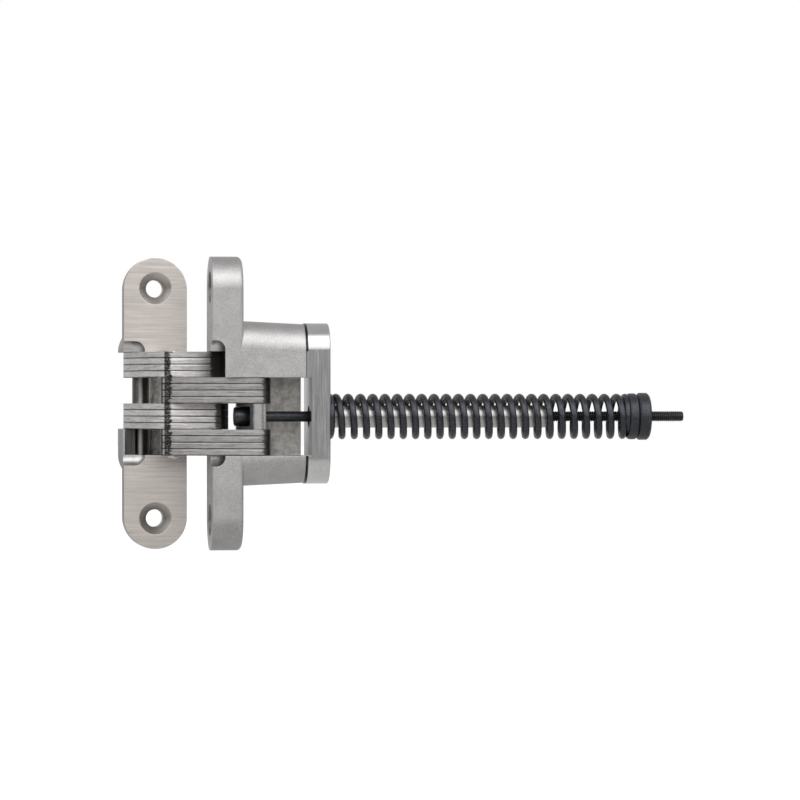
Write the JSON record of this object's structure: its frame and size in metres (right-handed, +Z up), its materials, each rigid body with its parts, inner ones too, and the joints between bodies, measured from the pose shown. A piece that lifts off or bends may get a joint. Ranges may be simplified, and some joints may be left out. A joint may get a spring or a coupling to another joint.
{
  "type": "concealed door hinge",
  "caption": "Concealed door hinge: two pocketed leaves joined by crossing packs of link plates, with a spring closer drawn by a rod through the pull pin.",
  "frame": {"origin": "midway between the closer leaf's two screw holes, in the plane of the rear of its ears, which rest on the floor of the mortise", "axes": "+X back through the closer leaf's pocket and along the closer rod, +Z up along the pivot pins, +Y towards the knuckle side of the closer leaf"},
  "size_m": [0.2247, 0.0702, 0.1174],
  "materials": {
    "leaf_face": "satin brushed plate over cast zinc",
    "leaf_casting": "matte fine-grained casting",
    "link_plate": "satin blanked steel",
    "oiled_pin": "dark oiled steel",
    "turned_steel": "satin turned steel",
    "black_oxide": "black oxide",
    "spring_steel": "black oiled spring wire",
    "bright_steel": "bright drawn tube",
    "milled_plate": "milled with fine vertical lines"
  },
  "bodies": {
    "closer_leaf": {"closer_leaf": "leaf_casting", "closer_pivot_pin": "oiled_pin", "end_plate": "milled_plate", "end_plate_screw_upper": "black_oxide", "end_plate_screw_lower": "black_oxide", "guide_tube": "bright_steel", "closer_spring": "spring_steel"},
    "frame_links": {"slide_pin": "oiled_pin", "link_row1_plate1": "link_plate", "link_row1_plate2": "link_plate", "link_row1_plate3": "link_plate", "link_row1_plate4": "link_plate", "link_row3_plate1": "link_plate", "link_row3_plate2": "link_plate", "link_row3_plate3": "link_plate", "link_row3_plate4": "link_plate"},
    "closer_links": {"centre_pin": "oiled_pin", "link_row2_plate1": "link_plate", "link_row2_plate2": "link_plate", "link_row2_plate3": "link_plate", "link_row2_plate4": "link_plate", "link_row4_plate1": "link_plate", "link_row4_plate2": "link_plate", "link_row4_plate3": "link_plate", "link_row4_plate4": "link_plate"},
    "frame_leaf": {"frame_leaf": "leaf_face", "frame_pivot_pin": "oiled_pin"},
    "pull_pin": {"pull_pin": "turned_steel"},
    "closer_rod": {"closer_rod": "black_oxide", "spring_washer": "black_oxide", "adjusting_nut": "black_oxide"}
  },
  "joints": [
    {"name": "hinge_swing", "type": "hinge", "parent": "closer_leaf", "child": "frame_links", "pos_m": [-0.0087, 0.0089, 0], "axis": [0, 0, 1], "range_deg": [-60, 60]},
    {"name": "link_scissor", "type": "hinge", "parent": "frame_links", "child": "closer_links", "pos_m": [-0.0269, 0.0056, 0], "axis": [0, 0, 1], "range_deg": [-30.1, 30.1]},
    {"name": "frame_leaf_turn", "type": "hinge", "parent": "closer_links", "child": "frame_leaf", "pos_m": [-0.0236, 0.0238, 0], "axis": [0, 0, 1], "range_deg": [-60.1, 60.1]},
    {"name": "pull_pin_turn", "type": "hinge", "parent": "closer_links", "child": "pull_pin", "pos_m": [0.0044, -0.0046, 0], "axis": [0, 0, 1], "range_deg": [-30.1, 30.1]},
    {"name": "rod_travel", "type": "slide", "parent": "closer_leaf", "child": "closer_rod", "axis": [1, 0, 0], "range_m": [-0.0088, 0.0088], "deforming": ["closer_spring"]}
  ],
  "couplings": [
    {"joint": "link_scissor", "follows": "hinge_swing", "ratio": -0.5},
    {"joint": "frame_leaf_turn", "follows": "hinge_swing", "ratio": 1},
    {"joint": "pull_pin_turn", "follows": "hinge_swing", "ratio": -0.5},
    {"joint": "rod_travel", "follows": "hinge_swing", "m_per_rad": 0.0084}
  ]
}
